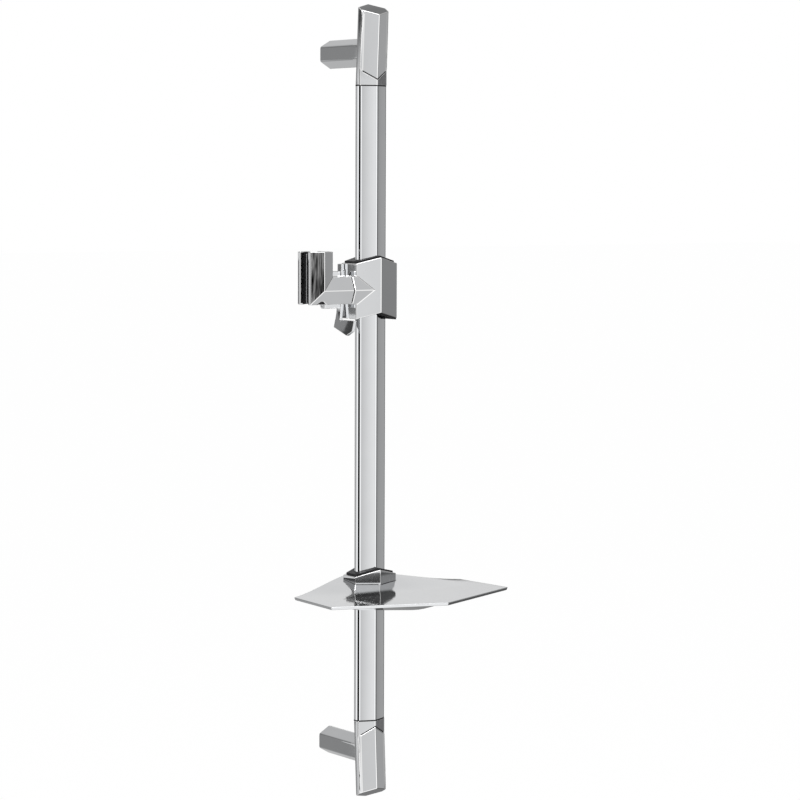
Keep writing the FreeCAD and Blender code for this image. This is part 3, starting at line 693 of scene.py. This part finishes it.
@dataclass
class FixedRail(SubAssembly):
    """The tube, its end caps and the posts to the wall. Sizes are in millimetres."""

    half_length: float = 277.2
    half_width: float = 14.5
    corner: float = 3.15
    ridge: float = 9.35
    corner_radii: tuple = (3.0, 4.0, 3.0, 1.0, 1.8, 1.0)
    face_bow: float = 0.1
    rim: float = 0.6
    seam_half: float = 0.55
    seam_inset: float = -0.12
    seam_rim: float = 0.1
    cap_radius: float = 1.2
    cap_angle: float = 1.5
    chevron_tip: float = 5.4
    chevron_end: float = 12.39
    chevron_half: float = 12.2
    chevron_rise: float = 0.35
    shadow_line_width: float = 1.0
    arris_width: float = 1.0
    arris_drop: float = 1.0
    neck_low: float = 0.7
    neck_start: float = 0.9
    neck_end: float = 13.2
    neck_proud: float = 0.08
    post_level: float = 306.0
    post_half: float = 10.9
    post_proud: float = 0.1
    post_radius: float = 2.4
    post_rim: float = 0.3
    post_front: float = -57.6
    post_wall: float = 2.6
    post_bore: float = 43.0

    def build(self) -> None:
        """Build every visible piece of the fixed rail."""
        self.build_tube()
        self.build_seams()
        self.build_caps()
        self.build_chevrons()
        self.build_posts()

    def section(self) -> np.ndarray:
        """The rail's six corners."""
        return gabled(self.half_width, self.corner, self.ridge)

    def build_tube(self) -> None:
        """The hexagonal tube, its section carried up the rail."""
        tube = carried_profile("rail", self.section(), self.corner_radii, -self.half_length, self.half_length,
                               self.rim, Axis.UP, (0.0, -RAIL_OFFSET, 0.0), self.face_bow)
        # The rounded corners take the whiter edge chrome, a painted highlight.
        self.finish_piece(tube, Surface.polished_chrome, "rail_tube", edge=Surface.burnished_edge)

    def build_seams(self) -> None:
        """Dark rings at the seams between the tube and its two caps."""
        corners = inset_corners(self.section(), self.seam_inset)
        for side, level in (("upper", self.half_length), ("lower", -self.half_length)):
            seam_ring = carried_profile(f"{side}_gasket", corners, self.corner_radii, level - self.seam_half,
                                     level + self.seam_half, self.seam_rim, Axis.UP, (0.0, -RAIL_OFFSET, 0.0),
                                     self.face_bow)
            self.finish_piece(seam_ring, Surface.dark_plastic)

    def build_caps(self) -> None:
        """The two end castings, with rounded edges."""
        for side in ("upper", "lower"):
            self.round_node(f"{side}_cap", f"{side}_end_cap", self.cap_radius, angle=self.cap_angle)

    def build_chevrons(self) -> None:
        """A dark bead along each cap's V as painted shadow, and a bead of whiter chrome under it as painted
        highlight, on y = -ridge + slope*|x|.
        """
        slope = (self.ridge - self.corner) / self.half_width
        course = ((-self.chevron_half, self.chevron_end), (0.0, self.chevron_tip))
        # The dark bead is painted shadow in the step along the V, and the arris bead's whiter chrome is painted
        # highlight.
        lines = (("joint", Surface.dark_plastic, 0.0, self.shadow_line_width),
                 ("arris", Surface.burnished_edge, self.arris_drop, self.arris_width))
        for side, way in (("upper", 1.0), ("lower", -1.0)):
            for name, surface, drop, width in lines:
                end, bend = [(across, -RAIL_OFFSET - self.ridge - slope * across,
                              way * (self.half_length + rise) - drop) for across, rise in course]
                line = bead(f"{side}_{name}", end, bend, (-slope, -1.0, 0.0), width / 2, self.chevron_rise)
                self.finish_piece(line, surface)
            self.build_neck(side, way, slope)

    def build_neck(self, side: str, way: float, slope: float) -> None:
        """A thin plate of darker chrome on the face from the seam to the V on a cap's right, as painted shade,
        on y = -ridge + slope*x.

        Args:
            side: Which cap it is on.
            way: 1 for the upper cap and -1 for the lower one.
            slope: Fall of the face with x.
        """
        rise = (self.chevron_end - self.chevron_tip) / self.chevron_half
        across = np.array([self.neck_start, self.neck_start, self.chevron_half, self.neck_end, self.neck_end])
        height = np.array([self.neck_low, self.chevron_tip + rise * self.neck_start, self.chevron_end,
                           self.chevron_end, self.neck_low])
        face = np.stack([across, slope * across - self.ridge - RAIL_OFFSET,
                         way * (self.half_length + height)], axis=1)
        proud = np.array((slope, -1.0, 0.0)) * self.neck_proud
        neck = closed_piece(f"{side}_neck", np.stack([face - proud, face + proud]), smooth=False)
        self.finish_piece(neck, Surface.shaded_chrome)

    def build_posts(self) -> None:
        """The two hexagonal wall posts, each hollow from the wall and run over the cap's own stub."""
        point, shoulder = self.post_half / math.cos(math.pi / 6), self.post_half * math.tan(math.pi / 6)
        hexagon = inset_corners(gabled(self.post_half, shoulder, point), -self.post_proud)
        for side, level in (("upper", self.post_level), ("lower", -self.post_level)):
            post = carried_profile(f"{side}_post", hexagon, self.post_radius, self.post_front, 0.0,
                                   self.post_rim, Axis.TO_WALL, (0.0, 0.0, level), wall=self.post_wall,
                                   depth=self.post_bore)
            self.finish_piece(post, Surface.polished_chrome, f"{side}_wall_post")


@dataclass
class Slider(SubAssembly):
    """The chromed shell that runs on the rail, with the fixed half of the arm."""

    body: str = "slider"
    shell_radius: float = 1.1
    half_width: float = 22.0
    front_corner: float = 9.1
    ridge: float = 16.1
    base_level: float = 76.0
    roof_rise: float = 5.4
    lip_inset: float = 0.5
    lip_wall: float = 2.0
    lip_drop: float = 1.3
    lip_bite: float = 1.0

    def build(self) -> None:
        """Build the slider's shell and the lip under it."""
        self.round_node("slider_shell", "slider_body", self.shell_radius)
        self.build_lip()

    def build_lip(self) -> None:
        """The core's dark lip under the shell's right side, on z = base + rise*(1 - |x|/half_width)."""
        section = gabled(self.half_width, self.front_corner, self.ridge)
        outer = inset_corners(section, self.lip_inset)[1:5]
        inner = inset_corners(section, self.lip_inset + self.lip_wall)[1:5]
        edge = np.stack([outer, outer, inner, inner], axis=1)
        level = self.base_level + self.roof_rise * (1.0 - np.abs(edge[..., 0]) / self.half_width)
        level = level + np.array([self.lip_bite, -self.lip_drop, -self.lip_drop, self.lip_bite])
        points = np.concatenate([edge, level[..., None]], axis=2) - np.array((0.0, RAIL_OFFSET, 0.0))
        lip = closed_piece("slider_lip", points, smooth=False)
        self.finish_piece(lip, Surface.dark_plastic)


@dataclass
class Lever(SubAssembly):
    """The release lever at the slider's lower left."""

    body: str = "lever"
    edge_radius: float = 0.5

    def build(self) -> None:
        """Build the lever."""
        self.round_node("lever_blade", "release_lever", self.edge_radius)


@dataclass
class Holder(SubAssembly):
    """The tilting arm and its slotted cup."""

    body: str = "holder"
    arm_radius: float = 0.9
    rib_radius: float = 0.6
    rib_face: float = -67.3
    rib_low: float = 91.0
    rib_high: float = 133.0
    rib_sides: int = 12
    rib_rim: float = 0.2
    ribs: tuple = (-60.9, -65.2)

    def build(self) -> None:
        """Build the arm, and the upright ribs in its cup's slot."""
        # The arm's cup carries a painted reflection on its front-left face.
        self.round_node("arm", "holder_arm", self.arm_radius, Surface.streaked_chrome)
        turn = np.linspace(0.0, 2.0 * math.pi, self.rib_sides + 1)[:-1]
        round_bar = self.rib_radius * np.stack([np.cos(turn), np.sin(turn)], axis=1)
        for number, depth in enumerate(self.ribs):
            rib = carried_profile(f"cup_rib_{number}", round_bar, LEAST_RADIUS, self.rib_low, self.rib_high,
                                  self.rib_rim, Axis.UP, (self.rib_face, depth, 0.0))
            self.finish_piece(rib, Surface.polished_chrome)


@dataclass
class Shelf(SubAssembly):
    """The plate and the collar that carries it."""

    body: str = "shelf"
    rim: tuple = ((-95.0, -75.6), (0.0, -113.0), (95.0, -75.6), (90.0, -14.0), (0.0, 25.0), (-90.0, -14.0))
    keel: tuple = ((-25.0, -38.0), (0.0, -62.0), (25.0, -38.0), (25.0, 8.0), (0.0, 16.0), (-25.0, 8.0))
    seat: tuple = (20.9, 8.3, 15.0)
    hole: tuple = (17.0, 4.2, 11.5)
    inner_radius: float = 0.5
    keel_radius: float = 8.0
    arc_steps: int = 4
    side_steps: int = 14
    top_rings: int = 28
    belly_rings: int = 20
    rim_level: float = -159.0
    thickness: float = 2.6
    corner_radius: float = 1.6
    edge_radius: float = 0.6
    undercut: float = 0.5
    hump_front: float = 46.0
    hump_rise: float = 9.0
    hump_reach: float = 71.0
    hump_half: float = 90.0
    keel_depth: float = 10.4
    clamp_radius: float = 0.8

    def build(self) -> None:
        """Build the plate and the clamp."""
        self.build_plate()
        self.round_node("clamp", "shelf_clamp", self.clamp_radius)

    def outline(self, corners: np.ndarray, radius: float) -> np.ndarray:
        """A rounded outline with the plate's number of points."""
        return bowed_outline(corners, radius, self.arc_steps, self.side_steps)

    def hump(self, plan: np.ndarray) -> np.ndarray:
        """Height of the plate's top above its rim.

        h = rise * s*s*(3 - 2*s) * (1 - (x/half)^2)^1.5, with s = (y + front) / reach, held between 0 and 1.

        Args:
            plan: Places about the rail's axis, shape (..., 2).

        Returns:
            Heights in millimetres, shape (...).
        """
        share = np.clip((plan[..., 1] + self.hump_front) / self.hump_reach, 0.0, 1.0)
        across = np.clip(1.0 - (plan[..., 0] / self.hump_half) ** 2, 0.0, 1.0)
        return self.hump_rise * smooth_step(share) * across ** 1.5

    def build_plate(self) -> None:
        """The plate, as rings from the clamp out to the rim, under it to the keel and up the rail's hole.

        Between outlines a and b the plan is a + t*(b - a). The top stands at the rim's level plus the hump,
        and the underside drops by depth * t*t*(3 - 2*t).
        """
        rim = np.array(self.rim)
        seat = self.outline(gabled(*self.seat), self.inner_radius)
        keel = self.outline(np.array(self.keel), self.keel_radius)
        hole = self.outline(gabled(*self.hole), self.inner_radius)
        edge = quarter_round(self.edge_radius, RIM_STEPS)
        lips = np.stack([self.outline(inset_corners(rim, inset), self.corner_radius) for inset in edge[:, 1]])
        sills = np.stack([self.outline(inset_corners(rim, inset + self.undercut), self.corner_radius)
                          for inset in edge[::-1, 1]])
        share = np.linspace(0.0, 1.0, self.top_rings + 1)[:-1, None, None]
        top = seat + share * (lips[0] - seat)
        under = np.linspace(0.0, 1.0, self.belly_rings + 1)[1:, None, None]
        belly = sills[-1] + under * (keel - sills[-1])
        bottom = self.rim_level - self.thickness
        plan = np.concatenate([top, lips, sills, belly, hole[None], seat[None]])
        height = np.concatenate([
            self.rim_level + self.hump(top),
            self.rim_level + self.hump(lips) - edge[:, :1],
            np.broadcast_to(bottom + edge[::-1, :1], sills.shape[:2]),
            np.broadcast_to((bottom - self.keel_depth * smooth_step(under))[..., 0], belly.shape[:2]),
            np.full((1, len(seat)), bottom - self.keel_depth),
            self.rim_level + self.hump(seat)[None]])
        points = np.concatenate([plan, height[..., None]], axis=2).reshape(-1, 3)
        points = (points - np.array((0.0, RAIL_OFFSET, 0.0))) * MM
        plate = new_piece("plate", points, grid_faces(len(plan), len(seat)).tolist())
        face_outwards(plate)
        keep_flats_flat(plate)
        self.finish_piece(plate, Surface.satin_chrome, "shelf_plate")


@dataclass
class Viewpoint:
    """The camera, as it stood for the photograph. Lengths are in millimetres."""

    target: tuple = (32.53, -61.0, 3.19)
    azimuth: float = -36.83
    elevation: float = 4.748
    distance: float = 2308.8
    focal_pixels: float = 2623.1
    roll: float = 0.228
    sensor: float = 36.0
    clip_end: float = 100000.0

    def build(self) -> None:
        """Set the camera on its sphere round the target, level but for a slight roll."""
        away = toward(self.azimuth, self.elevation)
        data = bpy.data.cameras.new("camera")
        data.sensor_fit = "HORIZONTAL"
        data.sensor_width = self.sensor
        data.lens = self.focal_pixels * self.sensor / IMAGE_PIXELS
        data.clip_end = self.clip_end * MM
        camera = bpy.data.objects.new("camera", data)
        bpy.context.scene.collection.objects.link(camera)
        place = Matrix.Translation((Vector(self.target) + away * self.distance) * MM)
        camera.matrix_world = place @ facing_back(away) @ Matrix.Rotation(math.radians(self.roll), 4, "Z")
        bpy.context.scene.camera = camera


def show_to_mirrors(piece: bpy.types.Object) -> None:
    """Show a piece of the studio to mirror rays alone.

    Args:
        piece: The piece.
    """
    piece.visible_camera = False
    piece.visible_diffuse = False
    piece.visible_shadow = False


@dataclass(frozen=True)
class Card:
    """A studio card of one shade that the chrome reflects, and that the camera doesn't see.

    Bearing and lift are in degrees, from the front to the right and above the level; lengths are in metres.
    """

    name: str
    bearing: float
    lift: float
    distance: float
    width: float
    height: float
    shade: float

    def build(self, centre: Vector) -> None:
        """Set the card on a sphere round a centre, facing it.

        Args:
            centre: What it faces, in metres.
        """
        away = toward(self.bearing, self.lift)
        card = flat_sheet(self.name, self.width / 2, self.height / 2)
        card.matrix_world = Matrix.Translation(centre + away * self.distance) @ facing_back(away)
        material, bench, out = start_material(self.name)
        light = bench.add("ShaderNodeEmission", Strength=self.shade)
        bench.feed(out.inputs["Surface"], light.outputs["Emission"])
        card.data.materials.append(material)
        show_to_mirrors(card)


CARDS = (
    Card("lever_card", -143.7, 1.9, 1.41, 0.045, 0.085, 0.18),
    Card("post_card", -146.24, -4.7, 0.61, 0.0585, 1.0, 0.28),
)


@dataclass(frozen=True)
class LightTent:
    """A wide tent of pale and dark cloths round the object, which only the chrome sees.

    Each band is a run of bearings in degrees from the front, to the right, with the shade of the cloth there.
    An edge is the pair of heights, as shares of the radius, between which one band passes into the next.
    """

    radius: float = 6.0
    rings: int = 49
    around: int = 96
    pole_gap: float = 0.02
    low_edge: tuple = (-0.34, -0.25)
    upper_edge: tuple = (0.085, 0.115)
    high_edge: tuple = (0.27, 0.34)
    low: tuple = ((-180, 0.50), (-150, 0.28), (-120, 0.60), (-60, 0.80), (-20, 1.05), (5, 1.05), (20, 0.90),
                  (40, 0.62), (58, 0.62), (72, 0.08), (95, 0.10), (122, 0.20), (140, 0.22), (150, 0.54),
                  (180, 0.54))
    middle: tuple = ((-180, 0.05), (-160, 0.05), (-154, 0.66), (-146, 0.72), (-138, 0.78), (-134, 1.2),
                     (-117, 1.2), (-112, 0.0), (-48, 0.0), (-46, 1.2), (-19, 1.2), (-15, 0.64), (-9.6, 0.86),
                     (-6, 0.97), (1.5, 0.80), (5, 0.85), (7, 1.2), (32, 1.2), (34, 0.90), (45, 0.90),
                     (47, 0.02), (65, 0.04), (70, 0.26), (74, 0.28), (82, 0.41), (88, 0.43), (92, 0.02),
                     (180, 0.05))
    upper: tuple = ((-180, 0.40), (-158, 0.06), (-130, 0.06), (-118, 0.60), (-60, 0.40), (-30, 0.04),
                    (22, 0.05), (30, 0.90), (42, 0.90), (50, 0.06), (80, 0.08), (90, 0.40), (120, 0.40),
                    (134, 0.74), (152, 0.78), (180, 0.40))
    high: tuple = ((-180, 0.54), (-150, 0.20), (-120, 0.60), (-60, 0.50), (-20, 0.68), (0, 0.70), (30, 0.68),
                   (46, 0.62), (70, 0.45), (95, 0.42), (108, 0.22), (128, 0.22), (138, 0.74), (150, 0.74),
                   (160, 0.54), (180, 0.54))

    def build(self, centre: Vector) -> None:
        """Set the tent up as a sphere of quads: p = radius * (sin a cos b, sin a sin b, cos a).

        Args:
            centre: Its middle, in metres.
        """
        fall, turn = np.meshgrid(np.linspace(self.pole_gap, math.pi - self.pole_gap, self.rings),
                                 np.linspace(0, 2 * math.pi, self.around + 1)[:-1], indexing="ij")
        ball = np.stack([np.sin(fall) * np.cos(turn), np.sin(fall) * np.sin(turn), np.cos(fall)], axis=2)
        tent = new_piece("light_tent", self.radius * ball.reshape(-1, 3),
                         grid_faces(self.rings, self.around).tolist())
        tent.location = centre
        tent.data.materials.append(self.material())
        show_to_mirrors(tent)

    def material(self) -> bpy.types.Material:
        """Light from four ramps over the bearing, which follow each other with height.

        Returns:
            The material.
        """
        material, bench, out = start_material("tent_cloth")
        place = bench.add("ShaderNodeTexCoord")
        split = bench.add("ShaderNodeSeparateXYZ", place.outputs["Object"])
        front = bench.add("ShaderNodeMath", split.outputs["Y"], -1.0, operation="MULTIPLY")
        bearing = bench.add("ShaderNodeMath", split.outputs["X"], front.outputs["Value"], operation="ARCTAN2")
        turn = bench.add("ShaderNodeMapRange", Value=bearing.outputs["Value"], From_Min=-math.pi,
                         From_Max=math.pi)
        shades = []
        for stops in (self.low, self.middle, self.upper, self.high):
            ramp = bench.add("ShaderNodeValToRGB", Fac=turn.outputs["Result"])
            self.fill_ramp(ramp.color_ramp, stops)
            shades.append(ramp.outputs["Color"])
        whole = shades[0]
        for (below, above), shade in zip((self.low_edge, self.upper_edge, self.high_edge), shades[1:]):
            share = bench.add("ShaderNodeMapRange", Value=split.outputs["Z"], From_Min=below * self.radius,
                              From_Max=above * self.radius)
            whole = bench.mix(share.outputs["Result"], whole, shade)
        light = bench.add("ShaderNodeEmission", Color=whole)
        bench.feed(out.inputs["Surface"], light.outputs["Emission"])
        return material

    @staticmethod
    def fill_ramp(ramp: bpy.types.ColorRamp, stops: tuple) -> None:
        """Lay a band's bearings and shades on a colour ramp.

        Args:
            ramp: A new ramp, with a stop at each end.
            stops: The band, from -180 to 180 degrees.
        """
        for bearing, _ in stops[1:-1]:
            ramp.elements.new(bearing / 360 + 0.5)
        for element, (_, shade) in zip(ramp.elements, stops):
            element.color = (shade, shade, shade, 1.0)


@dataclass
class Studio:
    """The floor, the sky and the lamps. Lengths are in metres."""

    centre: tuple = (0.0, -0.06, 0.0)
    floor_level: float = -1.1
    floor_half: float = 40.0
    floor_shade: float = 0.93
    floor_glow: float = 0.9
    sky_fade: tuple = (0.62, 0.9)
    sky_low: float = 1.0
    sky_high: float = 0.55
    fill: float = 1.0

    def build(self) -> None:
        """Set up the world, the floor, the tent, the cards and the lamps."""
        self.build_world()
        self.build_floor()
        centre = Vector(self.centre)
        LightTent().build(centre)
        for card in CARDS:
            card.build(centre)
        self.add_lamp("key", bearing=-40.0, lift=35.0, distance=2.2, size=1.2, power=22.0)
        self.add_lamp("top", bearing=20.0, lift=75.0, distance=2.2, size=1.4, power=14.0)
        bpy.context.scene.view_settings.view_transform = "Standard"

    def build_world(self) -> None:
        """A white sky for camera, mirror and glass, which greys overhead, and an even one as fill."""
        world = bpy.data.worlds.new("studio")
        bpy.context.scene.world = world
        world.use_nodes = True
        world.node_tree.nodes.clear()
        bench = NodeBench(world.node_tree)
        out = bench.add("ShaderNodeOutputWorld")
        place = bench.add("ShaderNodeTexCoord")
        split = bench.add("ShaderNodeSeparateXYZ", place.outputs["Generated"])
        shade = bench.add("ShaderNodeMapRange", Value=split.outputs["Z"], From_Min=self.sky_fade[0],
                          From_Max=self.sky_fade[1], To_Min=self.sky_low, To_Max=self.sky_high)
        path, seen = bench.seen()
        through = bench.add("ShaderNodeMath", seen, path.outputs["Is Transmission Ray"], operation="MAXIMUM")
        sky = bench.add("ShaderNodeBackground", Color=WHITE, Strength=shade.outputs["Result"])
        fill = bench.add("ShaderNodeBackground", Color=WHITE, Strength=self.fill)
        mix = bench.add("ShaderNodeMixShader", through.outputs["Value"], fill.outputs["Background"],
                        sky.outputs["Background"])
        bench.feed(out.inputs["Surface"], mix.outputs["Shader"])

    def build_floor(self) -> None:
        """A wide pale floor, white to the camera and out of the metal's sight, which still takes a shadow."""
        floor = flat_sheet("floor", self.floor_half, self.floor_half, self.floor_level)
        material, bench, out = start_material("pale_floor")
        matt = bench.add("ShaderNodeBsdfDiffuse", Color=(*[self.floor_shade] * 3, 1.0))
        lit = bench.add("ShaderNodeEmission", Strength=1.0)
        share = bench.add("ShaderNodeMath", bench.seen()[1], self.floor_glow, operation="MULTIPLY")
        mix = bench.add("ShaderNodeMixShader", share.outputs["Value"], matt.outputs["BSDF"],
                        lit.outputs["Emission"])
        bench.feed(out.inputs["Surface"], mix.outputs["Shader"])
        floor.data.materials.append(material)
        floor.visible_glossy = False

    def add_lamp(self, name: str, bearing: float, lift: float, distance: float, size: float,
                 power: float) -> None:
        """Add a square soft lamp that faces the object.

        Args:
            name: Name of the lamp.
            bearing: Degrees from the front, to the right.
            lift: Degrees above the level.
            distance: Metres from the object.
            size: Side of the lamp in metres.
            power: Watts.
        """
        away = toward(bearing, lift)
        data = bpy.data.lights.new(name, "AREA")
        data.size = size
        data.energy = power
        lamp = bpy.data.objects.new(name, data)
        bpy.context.scene.collection.objects.link(lamp)
        lamp.matrix_world = Matrix.Translation(Vector(self.centre) + away * distance) @ facing_back(away)


def main() -> None:
    """Build the camera, the studio and every sub-assembly."""
    logging.basicConfig(level=logging.INFO, format="%(message)s")
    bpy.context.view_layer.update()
    Viewpoint().build()
    Studio().build()
    palette = Palette()
    palette.dress_nodes()
    for assembly in (FixedRail(palette), Slider(palette), Lever(palette), Holder(palette), Shelf(palette)):
        assembly.build()
        for piece in assembly.pieces:
            LOG.info("%s on %s: %d faces", piece.name, assembly.body, len(piece.data.polygons))


if __name__ == "__main__":
    main()
